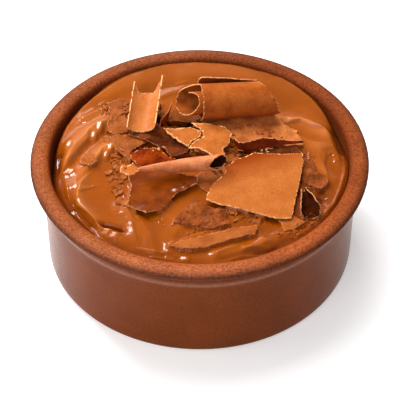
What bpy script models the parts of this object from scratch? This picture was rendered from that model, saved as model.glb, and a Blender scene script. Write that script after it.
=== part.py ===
"""Chocolate pudding in a round terracotta dish, topped with chocolate shavings.

The dish stands on its flat base with the origin at the base's centre, +Z up. The side that faces the
viewer is -Y. The pudding fills the dish to just below the rim, and the shavings lie in a loose pile on
it: each one is let down until it rests on what is already there.
"""

import math
import random
from collections import namedtuple

import bpy
from mathutils import Vector
from mathutils.bvhtree import BVHTree
from mathutils.geometry import delaunay_2d_cdt

MM = 0.001

# Driving dimensions of the dish, in metres.
RIM_RADIUS = 60 * MM
DISH_HEIGHT = 42.5 * MM
WALL_RADIUS = 55.8 * MM
WALL_THICKNESS = 4.4 * MM
FLOOR_THICKNESS = 5.5 * MM
RIM_WIDTH = 6.8 * MM
RIM_DEPTH = 3.9 * MM
FOOT_FILLET = 1.8 * MM
INNER_FILLET = 5 * MM
RIDGE_HEIGHT = 34 * MM
DISH_SEGMENTS = 48

# The pudding.
CREAM_LEVEL = 39.6 * MM
CREAM_DOME = 1.0 * MM
CREAM_SEGMENTS = 60
CREAM_RINGS = 21
GAP = 0.3 * MM

# The shavings.
SHEET_THICKNESS = 0.6 * MM
REST_GAP = 0.3 * MM
TORN_STEP = 3.2
TORN_DEPTH = 0.35
INNER_STEP = 2.8

CLAY = ("terracotta", (0.30, 0.095, 0.042), 0.5)
CREAM = ("pudding", (0.48, 0.17, 0.035), 0.25)
MILK_CHOCOLATE = ("milk_chocolate", (0.62, 0.24, 0.075), 0.55)
DARK_CHOCOLATE = ("dark_chocolate", (0.27, 0.075, 0.025), 0.5)

# Ridges that the spoon left: the two ends and the sideways bend of each, in mm, then its half width
# and height. The side to the left of the direction of travel is the soft one, and the other is steep.
RIDGES = (
    ((-48.5, -5.0), (-33.0, 19.5), 2.5, 3.4, 1.9),
    ((-42.5, -15.5), (-30.0, 6.5), 3.0, 3.6, 1.6),
    ((-23.5, -45.0), (-42.5, -20.5), 2.5, 3.0, 1.7),
    ((-15.5, -47.5), (-25.5, -25.0), -2.0, 3.2, 1.5),
    ((-9.5, -44.5), (-5.5, -33.0), 1.5, 3.0, 1.1),
    ((6.0, -48.5), (22.0, -42.0), -1.0, 2.2, 1.3),
    ((24.0, -43.0), (33.0, -37.0), 0.6, 2.4, 1.0),
    ((47.0, -10.0), (43.0, 4.0), 2.5, 2.6, 1.6),
    ((45.0, 6.0), (33.0, 13.0), 1.0, 2.8, 1.4),
    ((46.0, 13.0), (30.0, 21.0), -2.0, 3.4, 1.3),
    ((-36.0, 33.5), (-8.0, 43.0), 3.0, 4.2, 0.8),
    ((-5.0, 46.0), (36.0, 34.0), 5.0, 4.6, 0.7),
    ((-14.0, 34.0), (-2.0, 37.0), 1.0, 2.0, 0.6),
)
# Places where the pudding has drawn back from the wall: bearing and half width in degrees, and depth in mm.
WALL_HOLLOWS = (
    (222, 26, 2.2),
    (184, 16, 1.6),
    (20, 16, 1.8),
    (300, 22, 0.9),
)
HOLLOW_REACH = 6.5

# Flat shavings, from the bottom of the pile to the top: the low ones lie under the strips and the rolls,
# and the high ones on them. The outline is in mm. The height rule works from the centre: the slope
# to the right and to the back, and then the edges that bend, each with its bearing in degrees,
# where the bend starts in mm, and how fast it turns up in 1/mm.
Flake = namedtuple("Flake", "name outline centre slope bends ripple look")
LOW_FLAKES = (
    Flake("flake_sunken",
          ((-9, -33.5), (-6, -28), (-3, -23), (1, -24), (8.5, -28), (10.5, -34), (3, -37), (-2, -35)),
          (0, -30), (0, 0), (), 0.35, DARK_CHOCOLATE),
    Flake("flake_strip",
          ((-10.5, -45), (-6.5, -42.5), (2, -40), (11, -36.5), (20, -35), (19, -39), (11, -41.5),
           (2, -45.5), (-4.5, -46)),
          (5, -41), (0, 0.02), (), 0.1, MILK_CHOCOLATE),
    Flake("flake_corner",
          ((27, -30), (31.5, -29.5), (36, -33), (32.5, -36), (29, -37), (28, -34.5)),
          (31, -33), (0.05, 0.02), (), 0.1, DARK_CHOCOLATE),
    Flake("flake_left_back",
          ((-34, 29), (-28.5, 31.5), (-23.5, 30.5), (-23, 25), (-28, 23), (-30, 20.5), (-32.5, 22)),
          (-28, 26), (0.02, 0), ((250, 3, 0.03),), 0.15, MILK_CHOCOLATE),
    Flake("flake_left_rough",
          ((-33, 18.5), (-27.5, 21.5), (-25.5, 18.5), (-26, 13), (-30, 10.5), (-33.5, 13)),
          (-29, 16), (0, 0.02), (), 0.4, DARK_CHOCOLATE),
    Flake("flake_left_mid",
          ((-34.5, 8), (-30.5, 10), (-25.5, 10.5), (-19, 6.5), (-22.5, 3.5), (-24.5, 1), (-24.5, -3),
           (-29.5, 2.5)),
          (-26, 5), (0.03, 0.03), (), 0.2, MILK_CHOCOLATE),
    Flake("flake_tan",
          ((-28, -8.5), (-27.5, -4.5), (-25.5, -5), (-23.5, -3), (-20.5, -5.5), (-21.5, -8.5),
           (-24.5, -10)),
          (-24, -6), (0, 0), (), 0.1, MILK_CHOCOLATE),
    Flake("flake_bark",
          ((3, 16), (6, 18), (14.5, 20), (27.5, 22), (29, 19.5), (30.5, 15.5), (35, 12.5), (37, 5.5),
           (28.5, 4), (14.5, 4.5), (11, 9)),
          (21, 13), (0, 0.03), (), 0.35, DARK_CHOCOLATE),
    Flake("flake_under_ribbon",
          ((18, 0.5), (22, 2.5), (27, 4), (34.5, 3.5), (36, -0.5), (35, -4.5), (22, -4)),
          (28, 0), (0.02, 0.06), (), 0.1, DARK_CHOCOLATE),
    Flake("flake_right_fold",
          ((36, -2.5), (40, -2.5), (41.5, -9), (45, -11), (45, -14.5), (42.5, -16.5), (36.5, -13.5),
           (35, -10.5)),
          (40, -10), (0, 0.05), (), 0.45, DARK_CHOCOLATE),
    Flake("flake_dark_mid",
          ((-25.5, 9.5), (-16, 13.5), (-9.5, 11), (-3.5, 3), (-4.5, 0), (-10, -2), (-12.5, 1.5),
           (-18.5, 6)),
          (-12, 5), (0, 0.05), (), 0.35, DARK_CHOCOLATE),
    Flake("flake_under_pencil",
          ((-1, -10), (-1, -13.5), (0.5, -16.5), (3, -18.5), (6.5, -17.5), (10, -10.5), (8.5, -5),
           (2, -6.5)),
          (4, -12), (0.03, 0.02), (), 0.1, MILK_CHOCOLATE),
    Flake("flake_shell",
          ((-25, -11), (-21.5, -8.5), (-12, -9), (-0.5, -13.5), (-1, -15.5), (-8.5, -20.5),
           (-11.5, -25.5), (-13.5, -27.5), (-18.5, -30), (-25, -26), (-24, -16.5)),
          (-15, -18), (0.02, 0.01), ((60, 3.5, 0.022), (180, 8, 0.05), (250, 7, 0.02),), 0.1, MILK_CHOCOLATE),
    Flake("flake_centre_rough",
          ((8, 4), (12, 3.5), (15.5, 1.5), (13, -2), (10.5, -3), (7.5, -0.5)),
          (11, 1), (0, 0.1), (), 0.2, DARK_CHOCOLATE),
    Flake("flake_pink",
          ((-13, 21), (-10.5, 24), (-7.5, 24.5), (-1.5, 23), (0.5, 20.5), (-1.5, 18.5), (-5.5, 19),
           (-11.5, 19.5)),
          (-6, 21), (0, 0.15), (), 0.15, DARK_CHOCOLATE),
    Flake("flake_rust",
          ((-25, -0.5), (-20.5, 1), (-14, 1), (-11, -2.5), (-8.5, -3), (-15, -6.5), (-19.5, -7),
           (-22.5, -5), (-24.5, -2.5)),
          (-18, -3), (0, 0.32), (), 0.3, DARK_CHOCOLATE),
)
HIGH_FLAKES = (
    Flake("flake_notched_left",
          ((-13, 10.5), (-9, 10.5), (-3.5, 11.5), (1, 9.5), (0, 7), (-4.5, 2), (-9, 6)),
          (-5, 8), (-0.02, 0.06), ((200, 4, 0.05),), 0.1, MILK_CHOCOLATE),
    Flake("flake_notched_right",
          ((-3, 13), (4.5, 12), (8, 11.5), (11.5, 8), (10.5, 2.5), (8, 0.5), (9, -2.5), (5, -3.5),
           (1.5, -0.5), (-4, 1), (-1.5, 4), (1, 6), (1, 9)),
          (4, 5), (0, 0.08), (), 0.25, MILK_CHOCOLATE),
    Flake("flake_large",
          ((2, -23), (4, -17), (9, -10.5), (9, -8), (12.5, -5), (19.5, -1.5), (28, -1.5), (36.5, -1),
           (36.5, -4.5), (35.5, -11.5), (33.5, -21.5), (31.5, -32), (26, -32), (14, -27.5), (5.5, -25)),
          (20, -15), (0, 0.06), ((112, 7.5, 0.03),), 0.04, MILK_CHOCOLATE),
    Flake("flake_crumb",
          ((-42.5, -1.5), (-40.5, 0.5), (-37, 0), (-36, -3.5), (-39, -5.5), (-42, -4.5)),
          (-39, -2), (0, 0), (), 0.2, DARK_CHOCOLATE),
)

# Strips that stand on edge: the lower and the upper edge in mm, and the grid of faces.
Strip = namedtuple("Strip", "name low high ripple grid look")
STRIPS = (
    Strip("flake_ribbon",
          ((12.6, 3.6, 0), (15, 1.4, 0), (19, 1.6, 0), (23, 2.1, 0.2), (29, 3.2, 0.5), (36.5, 3.8, 0.9)),
          ((12, 6.2, 1.6), (14.6, 2.6, 2.3), (19, 3.6, 2.4), (23, 5.4, 2.3), (29, 4.7, 1.7), (37, 4.4, 1.3)),
          0.1, (11, 3), DARK_CHOCOLATE),
    Strip("flake_shard",
          ((-14.5, 14.5, 0), (-12.5, 17, 0), (-11.5, 20.5, 0.4)),
          ((-14, 16, 3), (-11.5, 19, 4.5), (-10, 23.5, 5)),
          0.1, (5, 2), DARK_CHOCOLATE),
)

# Rolled shavings. The axis ends are in mm, and so are the radius at each end and how much the middle
# swells. The sheet runs between two bearings round the axis (0 is to the right of the axis and 90 is up)
# while its radius shrinks, by how much and to which power of the way round. Each end of the roll is cut
# askew: how far it sticks out, and on which bearing it does so most. A tail is the inner turns that
# stick out at the first end: from which share of the way round to which they come out, how far, and how
# much askew they are cut, all with the bearing of the first cut.
Curl = namedtuple("Curl", "name ends radii belly bearings shrink cuts tail grid look")
CURLS = (
    Curl("curl_cone", ((36.2, -19, 43), (38.2, -29.5, 43)), (0.8, 3.7), 0, (20, -225), (0.2, 1),
         ((0.4, 90), (1.0, -90)), None, (7, 10), DARK_CHOCOLATE),
    Curl("curl_pencil", ((-20.8, -11.4, 44), (6, -9, 45)), (0.6, 2.9), 1.1, (-75, 275), (0.3, 1),
         ((0.5, 0), (3, 150)), None, (13, 14), DARK_CHOCOLATE),
    Curl("curl_trough", ((-21.4, 8.7, 44), (-19.4, 30, 45.6)), (5.6, 5.6), 0, (214, 358), (0, 1),
         ((0.6, 90), (-2.6, 270)), None, (7, 9), MILK_CHOCOLATE),
    Curl("curl_scroll", ((0.2, 20, 49), (24.3, 22.5, 49)), (7.5, 6.95), 0, (128, 848), (4.2, 1.5),
         ((-0.6, 45), (3.7, 330)), (0.46, 0.58, 4.6, 3.9), (10, 36), MILK_CHOCOLATE),
)
SEED = 7


def clear_scene():
    for obj in list(bpy.data.objects):
        bpy.data.objects.remove(obj, do_unlink=True)


def new_collection(name):
    collection = bpy.data.collections.new(name)
    bpy.context.scene.collection.children.link(collection)
    return collection


def material(look):
    """The Principled material of that name, colour and roughness, made once and then shared."""
    name, colour, roughness = look
    found = bpy.data.materials.get(name)
    if found:
        return found
    made = bpy.data.materials.new(name)
    made.use_nodes = True
    shader = made.node_tree.nodes["Principled BSDF"]
    shader.inputs["Base Color"].default_value = (*colour, 1)
    shader.inputs["Roughness"].default_value = roughness
    shader.inputs["Metallic"].default_value = 0
    return made


def add_object(name, mesh, collection, look):
    mesh.materials.append(material(look))
    obj = bpy.data.objects.new(name, mesh)
    collection.objects.link(obj)
    return obj


def evaluated_mesh(obj):
    """A copy of the object's mesh with its modifiers applied."""
    graph = bpy.context.evaluated_depsgraph_get()
    return bpy.data.meshes.new_from_object(obj.evaluated_get(graph))


def turned(name, profile, segments, collection, look):
    """A solid of revolution about Z. The profile runs from the axis at the top, down the outer side,
    and back to the axis at the bottom."""
    mesh = bpy.data.meshes.new(name)
    edges = [(i, i + 1) for i in range(len(profile) - 1)]
    mesh.from_pydata([(r, 0, z) for r, z in profile], edges, [])
    obj = add_object(name, mesh, collection, look)
    screw = obj.modifiers.new("turn", "SCREW")
    screw.axis = "Z"
    screw.steps = screw.render_steps = segments
    screw.use_merge_vertices = True
    screw.merge_threshold = 0.00001
    return obj


def arc(centre, radius, start, stop, steps):
    """Points on a circle in the profile's plane, from one angle in degrees to another."""
    turn = [math.radians(start + (stop - start) * i / steps) for i in range(steps + 1)]
    return [(centre[0] + radius * math.cos(a), centre[1] + radius * math.sin(a)) for a in turn]


def bezier(start, start_pull, stop_pull, stop, steps):
    """Points on a cubic curve in the profile's plane."""
    made = []
    for i in range(steps + 1):
        t = i / steps
        weights = ((1 - t) ** 3, 3 * t * (1 - t) ** 2, 3 * t * t * (1 - t), t**3)
        ends = (start, start_pull, stop_pull, stop)
        made.append(tuple(sum(w * p[k] for w, p in zip(weights, ends)) for k in range(2)))
    return made


def dish_profile():
    """The dish from the middle of its floor, up the inside, over the rim and down to its foot."""
    inner = WALL_RADIUS - WALL_THICKNESS
    lip = RIM_RADIUS - RIM_WIDTH
    mid_rim = RIM_RADIUS - RIM_WIDTH / 2
    shoulder = DISH_HEIGHT - RIM_DEPTH
    floor_corner = (inner - INNER_FILLET, FLOOR_THICKNESS + INNER_FILLET)
    inside = [(0, FLOOR_THICKNESS), *arc(floor_corner, INNER_FILLET, -90, 0, 4)]
    inside.append((inner + 0.4 * MM, DISH_HEIGHT * 0.7))
    crown = (mid_rim, DISH_HEIGHT)
    brow = (RIM_RADIUS, DISH_HEIGHT - 1.8 * MM)
    rim_inside = bezier((lip, DISH_HEIGHT - 2.4 * MM), (lip, DISH_HEIGHT - 0.4 * MM),
                        (mid_rim - 2.4 * MM, DISH_HEIGHT), crown, 4)
    rim_top = bezier(crown, (RIM_RADIUS - 1.2 * MM, DISH_HEIGHT), (RIM_RADIUS, DISH_HEIGHT - 0.8 * MM),
                     brow, 3)
    rim_side = bezier(brow, (RIM_RADIUS, DISH_HEIGHT - 2.8 * MM),
                      (RIM_RADIUS - 0.7 * MM, shoulder + 0.5 * MM), (WALL_RADIUS + 1.6 * MM, shoulder), 3)
    neck = [
        (WALL_RADIUS + 0.1 * MM, shoulder - 0.9 * MM),
        (WALL_RADIUS - 0.3 * MM, shoulder - 2.4 * MM),
        (WALL_RADIUS + 0.1 * MM, RIDGE_HEIGHT + 0.4 * MM),
        (WALL_RADIUS + 0.3 * MM, RIDGE_HEIGHT - 0.3 * MM),
        (WALL_RADIUS, RIDGE_HEIGHT - 1.4 * MM),
    ]
    foot_centre = (WALL_RADIUS - 0.3 * MM - FOOT_FILLET, FOOT_FILLET)
    foot = [*arc(foot_centre, FOOT_FILLET, 0, -90, 3), (0, 0)]
    return inside + rim_inside + rim_top[1:] + rim_side[1:] + neck + foot


def bore_radius(height):
    """The dish's inner radius at a height, above its inner fillet."""
    inner = WALL_RADIUS - WALL_THICKNESS
    knee = DISH_HEIGHT * 0.7
    lip = RIM_RADIUS - RIM_WIDTH
    straight = FLOOR_THICKNESS + INNER_FILLET
    if height <= knee:
        return inner + 0.4 * MM * (height - straight) / (knee - straight)
    share = (height - knee) / (DISH_HEIGHT - 2.4 * MM - knee)
    return inner + 0.4 * MM + (lip - inner - 0.4 * MM) * min(share, 1)


def ridge_height(x, y, ridge):
    """What one spoon ridge adds at a point, all in mm."""
    (x0, y0), (x1, y1), bend, half_width, height = ridge
    length = math.hypot(x1 - x0, y1 - y0)
    along_x, along_y = (x1 - x0) / length, (y1 - y0) / length
    along = ((x - x0) * along_x + (y - y0) * along_y) / length
    across = (y - y0) * along_x - (x - x0) * along_y
    across -= bend * math.sin(math.pi * min(max(along, 0), 1))
    width = half_width * (1.5 if across > 0 else 0.6)
    ends = max(0, -along, along - 1) * length / half_width
    return height * math.exp(-((across / width) ** 2) - ends**2)


def cream_height(x, y):
    """The height of the pudding's surface over a point, in metres."""
    x, y = x / MM, y / MM
    radius, edge = math.hypot(x, y), bore_radius(CREAM_LEVEL) / MM
    height = CREAM_LEVEL / MM + CREAM_DOME / MM * (1 - (radius / edge) ** 2)
    near_wall = math.exp(-(((edge - radius) / 4) ** 2))
    height += (1 - near_wall) * sum(ridge_height(x, y, ridge) for ridge in RIDGES)
    height += 0.25 * math.sin(0.19 * x + 0.07 * y) * math.sin(0.16 * y - 0.05 * x + 1)
    bearing = math.degrees(math.atan2(y, x))
    for middle, half_width, depth in WALL_HOLLOWS:
        off = (bearing - middle + 180) % 360 - 180
        inwards = (edge - radius) / HOLLOW_REACH
        height -= depth * math.exp(-((off / half_width) ** 2) - inwards**2)
    return height * MM


def make_pudding(collection):
    """The filling: a turned body that fits the dish with a hair's gap, its top shaped by the spoon."""
    top_radius = bore_radius(CREAM_LEVEL) - GAP
    knee = DISH_HEIGHT * 0.7
    fillet = INNER_FILLET - GAP
    bottom = FLOOR_THICKNESS + GAP
    corner = (WALL_RADIUS - WALL_THICKNESS - INNER_FILLET, FLOOR_THICKNESS + INNER_FILLET)
    top = [(top_radius * i / CREAM_RINGS, CREAM_LEVEL) for i in range(CREAM_RINGS + 1)]
    side = [(bore_radius(knee) - GAP, knee), *arc(corner, fillet, 0, -90, 4)]
    body = turned("pudding", top + side + [(0, bottom)], CREAM_SEGMENTS, collection, CREAM)
    mesh = evaluated_mesh(body)
    body.modifiers.clear()
    body.data = mesh
    for vertex in mesh.vertices:
        if vertex.co.z > CREAM_LEVEL - GAP:
            vertex.co.z = cream_height(vertex.co.x, vertex.co.y)
            fitted = min(vertex.co.xy.length, bore_radius(vertex.co.z) - GAP)
            if fitted > top_radius / 2:
                vertex.co.xy = vertex.co.xy.normalized() * fitted
    return body


def stretch(low, high, t):
    return low + (high - low) * t


def along(points, t):
    """The point at a share t of a line through the given points, eased from one to the next."""
    spot = t * (len(points) - 1)
    step = min(int(spot), len(points) - 2)
    return Vector(points[step]).lerp(Vector(points[step + 1]), spot - step)


def torn_outline(outline, seed):
    """The outline cut into short steps, with each new point pushed in or out at random."""
    draw = random.Random(seed)
    torn = []
    for start, stop in zip(outline, outline[1:] + outline[:1]):
        start, stop = Vector(start), Vector(stop)
        steps = max(1, round((stop - start).length / TORN_STEP))
        side = (stop - start).orthogonal().normalized()
        torn.append(start)
        for i in range(1, steps):
            torn.append(start.lerp(stop, i / steps) + side * draw.uniform(-TORN_DEPTH, TORN_DEPTH))
    return torn


def inside(point, outline):
    """Whether a point lies inside an outline, and clear of it."""
    crossings = 0
    for start, stop in zip(outline, outline[1:] + outline[:1]):
        share = (point - start).dot(stop - start) / (stop - start).length_squared
        if (point - start.lerp(stop, min(max(share, 0), 1))).length < 0.6 * INNER_STEP:
            return False
        if (start.y > point.y) != (stop.y > point.y):
            crossings += point.x < start.x + (point.y - start.y) * (stop.x - start.x) / (stop.y - start.y)
    return crossings % 2 == 1


def inner_points(outline):
    """Points in staggered rows that fill an outline."""
    low = Vector((min(p.x for p in outline), min(p.y for p in outline)))
    high = Vector((max(p.x for p in outline), max(p.y for p in outline)))
    points = []
    for row in range(int((high.y - low.y) / (0.87 * INNER_STEP)) + 1):
        for column in range(int((high.x - low.x) / INNER_STEP) + 2):
            point = low + Vector((column + row % 2 / 2, 0.87 * row)) * INNER_STEP
            if inside(point, outline):
                points.append(point)
    return points


def flake_height(flake, x, y, seed):
    """How high a flake lies over a point, counted from its centre, all in mm."""
    x, y = x - flake.centre[0], y - flake.centre[1]
    height = flake.slope[0] * x + flake.slope[1] * y
    for bearing, start, rate in flake.bends:
        beyond = x * math.cos(math.radians(bearing)) + y * math.sin(math.radians(bearing)) - start
        height += rate * max(0, beyond) ** 2
    return height + flake.ripple * math.sin(0.55 * x + seed) * math.cos(0.5 * y + 2 * seed)


def add_sheet(name, points, faces, collection, look):
    """A thin shaving: the middle surface is in mm, and it gets its thickness on both sides."""
    mesh = bpy.data.meshes.new(name)
    mesh.from_pydata([Vector(point) * MM for point in points], [], faces)
    obj = add_object(name, mesh, collection, look)
    solidify = obj.modifiers.new("thickness", "SOLIDIFY")
    solidify.thickness = SHEET_THICKNESS
    solidify.offset = 0
    return obj


def add_flake(flake, seed, collection):
    outline = torn_outline(flake.outline, seed)
    count = len(outline)
    rim = list(range(count))
    flat, _, faces, *_ = delaunay_2d_cdt(outline + inner_points(outline), [], [rim], 1, 0.001)
    points = [(p.x, p.y, flake_height(flake, p.x, p.y, seed)) for p in flat]
    return add_sheet(flake.name, points, faces, collection, flake.look)


def grid_faces(columns, rows):
    """Triangles of a grid of points that is numbered row by row."""
    faces = []
    for row in range(rows):
        for column in range(columns):
            corner = row * (columns + 1) + column
            faces.append((corner, corner + 1, corner + columns + 2))
            faces.append((corner, corner + columns + 2, corner + columns + 1))
    return faces


def add_strip(strip, seed, collection):
    columns, rows = strip.grid
    points = []
    for row in range(rows + 1):
        for column in range(columns + 1):
            u, v = column / columns, row / rows
            point = along(strip.low, u).lerp(along(strip.high, u), v)
            point.y += strip.ripple * math.sin(9 * u + seed)
            points.append(point)
    return add_sheet(strip.name, points, grid_faces(columns, rows), collection, strip.look)


def curl_ends(curl, share, bearing, length):
    """Where a roll's sheet starts and stops along the axis, at one place on the way round, in mm."""
    reach = [c * math.cos(math.radians(bearing - most)) for c, most in curl.cuts]
    low = -reach[0]
    if curl.tail:
        start, stop, out, askew = curl.tail
        t = min(max((share - start) / (stop - start), 0), 1)
        tail = -out + askew * math.cos(math.radians(bearing - curl.cuts[0][1]))
        low = stretch(low, tail, t * t * (3 - 2 * t))
    return low, length + reach[1]


def add_curl(curl, seed, collection):
    draw = random.Random(seed)
    columns, rows = curl.grid
    start, stop = (Vector(end) for end in curl.ends)
    length = (stop - start).length
    axis = (stop - start).normalized()
    right = axis.cross(Vector((0, 0, 1))).normalized()
    up = right.cross(axis)
    points = []
    for row in range(rows + 1):
        share = row / rows
        bearing = stretch(curl.bearings[0], curl.bearings[1], share)
        outward = right * math.cos(math.radians(bearing)) + up * math.sin(math.radians(bearing))
        low, high = curl_ends(curl, share, bearing, length)
        low += draw.uniform(-TORN_DEPTH, TORN_DEPTH)
        high += draw.uniform(-TORN_DEPTH, TORN_DEPTH)
        for column in range(columns + 1):
            u = column / columns
            radius = stretch(curl.radii[0], curl.radii[1], u) + curl.belly * math.sin(math.pi * u)
            radius -= curl.shrink[0] * share ** curl.shrink[1]
            points.append(start + axis * stretch(low, high, u) + outward * radius)
    return add_sheet(curl.name, points, grid_faces(columns, rows), collection, curl.look)


def drop_onto(obj, below):
    """Moves a shaving up or down until it clears every mesh below by the rest gap, and keeps it there."""
    bpy.context.view_layer.update()
    mesh = evaluated_mesh(obj)
    points = [vertex.co.copy() for vertex in mesh.vertices]
    faces = [tuple(polygon.vertices) for polygon in mesh.polygons]
    lift = max(point.z for other, _ in below for point in other) - min(point.z for point in points)
    high = [point + Vector((0, 0, lift)) for point in points]
    own_tree = BVHTree.FromPolygons(high, faces)
    down, up = Vector((0, 0, -1)), Vector((0, 0, 1))
    room = []
    for other, tree in below:
        for point in high:
            hit = tree.ray_cast(point, down)
            if hit[0]:
                room.append(hit[3])
        for point in other:
            hit = own_tree.ray_cast(point, up)
            if hit[0]:
                room.append(hit[3])
    obj.location.z = lift - min(room) + REST_GAP
    settled = [point + Vector((0, 0, obj.location.z)) for point in points]
    bpy.data.meshes.remove(mesh)
    return settled, BVHTree.FromPolygons(settled, faces)


def solid_below(obj):
    """The points and the search tree of a solid that shavings can rest on."""
    mesh = evaluated_mesh(obj)
    points = [vertex.co.copy() for vertex in mesh.vertices]
    tree = BVHTree.FromPolygons(points, [tuple(polygon.vertices) for polygon in mesh.polygons])
    bpy.data.meshes.remove(mesh)
    return points, tree


def make_shavings(collection, below):
    """All the shavings, from the bottom of the pile to the top."""
    seed = SEED
    kinds = (LOW_FLAKES, add_flake), (STRIPS, add_strip), (CURLS, add_curl), (HIGH_FLAKES, add_flake)
    for shavings, add in kinds:
        for shaving in shavings:
            seed += 1
            below.append(drop_onto(add(shaving, seed, collection), below))


def main():
    clear_scene()
    collection = new_collection("chocolate_pudding")
    dish = turned("dish", dish_profile(), DISH_SEGMENTS, collection, CLAY)
    pudding = make_pudding(collection)
    make_shavings(collection, [solid_below(dish), solid_below(pudding)])
    for obj in collection.objects:
        obj.data.shade_smooth()
        obj.data.set_sharp_from_angle(angle=math.radians(50))


main()
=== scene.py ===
"""The chocolate pudding's looks: finer shapes, materials, floor, light and camera, built round the solids."""

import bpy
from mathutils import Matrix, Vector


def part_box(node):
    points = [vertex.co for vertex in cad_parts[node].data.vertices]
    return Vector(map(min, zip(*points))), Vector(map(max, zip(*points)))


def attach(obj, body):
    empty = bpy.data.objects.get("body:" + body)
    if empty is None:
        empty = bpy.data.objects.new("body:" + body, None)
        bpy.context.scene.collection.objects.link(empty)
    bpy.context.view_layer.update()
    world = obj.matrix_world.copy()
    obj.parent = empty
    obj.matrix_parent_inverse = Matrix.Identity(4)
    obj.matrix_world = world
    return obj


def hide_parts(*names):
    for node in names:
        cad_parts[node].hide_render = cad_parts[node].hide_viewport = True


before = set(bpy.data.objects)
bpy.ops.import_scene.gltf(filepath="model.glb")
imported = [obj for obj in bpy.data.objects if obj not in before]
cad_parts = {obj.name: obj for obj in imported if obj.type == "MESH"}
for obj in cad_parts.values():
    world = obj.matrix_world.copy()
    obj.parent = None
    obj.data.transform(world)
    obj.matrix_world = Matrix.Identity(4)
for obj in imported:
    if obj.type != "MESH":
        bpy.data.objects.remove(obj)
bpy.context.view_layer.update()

import functools
import math
import random
from collections import namedtuple

import bpy
import numpy as np
from mathutils import Vector, noise
from mathutils.bvhtree import BVHTree
from mathutils.geometry import delaunay_2d_cdt

MM = 0.001

# The dish, in mm, as in the solids.
RIM_RADIUS = 60
DISH_HEIGHT = 42.5
WALL_RADIUS = 55.8
WALL_THICKNESS = 4.4
INNER_RADIUS = WALL_RADIUS - WALL_THICKNESS
FLOOR_THICKNESS = 5.5
RIM_WIDTH = 6.8
RIM_DEPTH = 3.9
FOOT_FILLET = 1.8
INNER_FILLET = 5
RIDGE_HEIGHT = 34
DISH_SEGMENTS = 240
# The bore is wider by the knee's step at the knee, and widens from there to a little under the rim's crown.
KNEE = DISH_HEIGHT * 0.7
KNEE_STEP = 0.4
BORE_DROP = 2.4
# The depth of the groove, by which the wall also narrows down to its foot, and the ring in the floor.
WALL_TAPER = 0.3
FLOOR_RING = 30
# A thrown dish isn't a perfect round: the shares by which it wanders outwards at most, and in two waves.
WANDER = (0.0012, 0.0012, 0.0008)

# The clay's looks: the wall, darkened as painted shade, the rim from its inner edge to its outer one, with
# painted shade on both rounded edges and painted light on its crown, its patches, painted shade towards the
# back, painted light on its left and painted shade on its right, and the heights, in mm, between which the
# rim's look starts and a painted highlight lies along the ridge under it, with that highlight's band and
# colour.
# The wall's colours, darker than the rim's: painted shade.
WALL_COLOURS = ((0.32, (0.134, 0.027, 0.003)), (0.68, (0.17, 0.035, 0.005)))
# Darker at the rim's rounded inner and outer edges and lighter on its crown: painted shade and painted light.
RIM_COLOURS = (
    (0.0, (0.22, 0.045, 0.01)),
    (0.25, (0.34, 0.078, 0.019)),
    (0.6, (0.37, 0.097, 0.032)),
    (0.86, (0.26, 0.068, 0.026)),
    (1.0, (0.09, 0.022, 0.009)),
)
RIM_PATCHES = ((0.32, (0.8, 0.78, 0.74)), (0.68, 1.12))
# Painted shade that darkens the rim from front to back.
RIM_BACK_SHADE = ((0.0, (1.08, 1.1, 1.12)), (0.5, (0.8, 0.8, 0.78)), (1.0, (0.62, 0.63, 0.72)))
# Painted light on the rim's left and painted shade on its right, where the light falls from the left.
RIM_SIDE_LIGHT = (
    (0.0, (1.0, 1.02, 0.95)),
    (0.25, (1.1, 1.18, 1.22)),
    (0.55, (1.0, 1.05, 1.12)),
    (0.8, (0.95, 0.84, 0.64)),
    (1.0, (0.9, 0.8, 0.58)),
)
RIM_STARTS = (37, 40)
# The heights, band and colour of a painted highlight along the ridge under the rim.
RIDGE_ZONE = (32, 36)
RIDGE_HIGHLIGHT = ((0.15, 0), (0.38, 0.8), (0.55, 0.8), (0.8, 0.1))
RIDGE_HIGHLIGHT_COLOUR = (0.27, 0.105, 0.062)
CLAY_GRAIN = ((0.36, (0.6, 0.54, 0.5)), (0.62, (1.22, 1.26, 1.32)))
SPECK_COLOUR = (0.09, 0.018, 0.008)

# The pudding's looks: the heights of its deepest gaps and highest crests, in mm, its colours between them,
# which paint shade into the gaps and hollows and light onto the crests, how painted light, shade and sheen
# shift them from front to back, and their patches.
CREAM_HEIGHTS = (35, 43)
# Near black in the deepest gaps, darker in the hollows and lighter on the crests: painted shade and painted
# light.
CREAM_COLOURS = (
    (0.0, (0.02, 0.003, 0.001)),
    (0.28, (0.08, 0.012, 0.001)),
    (0.44, (0.18, 0.03, 0.001)),
    (0.58, (0.27, 0.052, 0.001)),
    (0.73, (0.34, 0.073, 0.003)),
    (0.92, (0.46, 0.13, 0.021)),
)
# Painted shade at the front, and painted light and a whitish painted sheen towards the back.
CREAM_SIDE_LIGHT = ((0.0, 0.94), (0.5, 1.0), (0.78, (1.1, 1.2, 2.0)), (1.0, (0.82, 0.84, 1.4)))
CREAM_PATCHES = ((0.35, (0.86, 0.82, 0.7)), (0.65, (1.1, 1.12, 1.2)))

# The pudding, in mm. Lines of points are written as x,y x,y.
CREAM_LEVEL = 39.6
CREAM_DOME = 1.0
# The cream climbs the wall at the back: by how much, and over what width.
BACK_RISE = 1.6
BACK_REACH = 13
CREAM_GRID = 306
# The gap at the wall, and the radii and heights of the rings that its sides run down to.
GAP = 0.2
CREAM_RINGS = ((INNER_RADIUS + KNEE_STEP - GAP, KNEE), (INNER_RADIUS - GAP, 12), (47, FLOOR_THICKNESS + 0.4))
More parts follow.
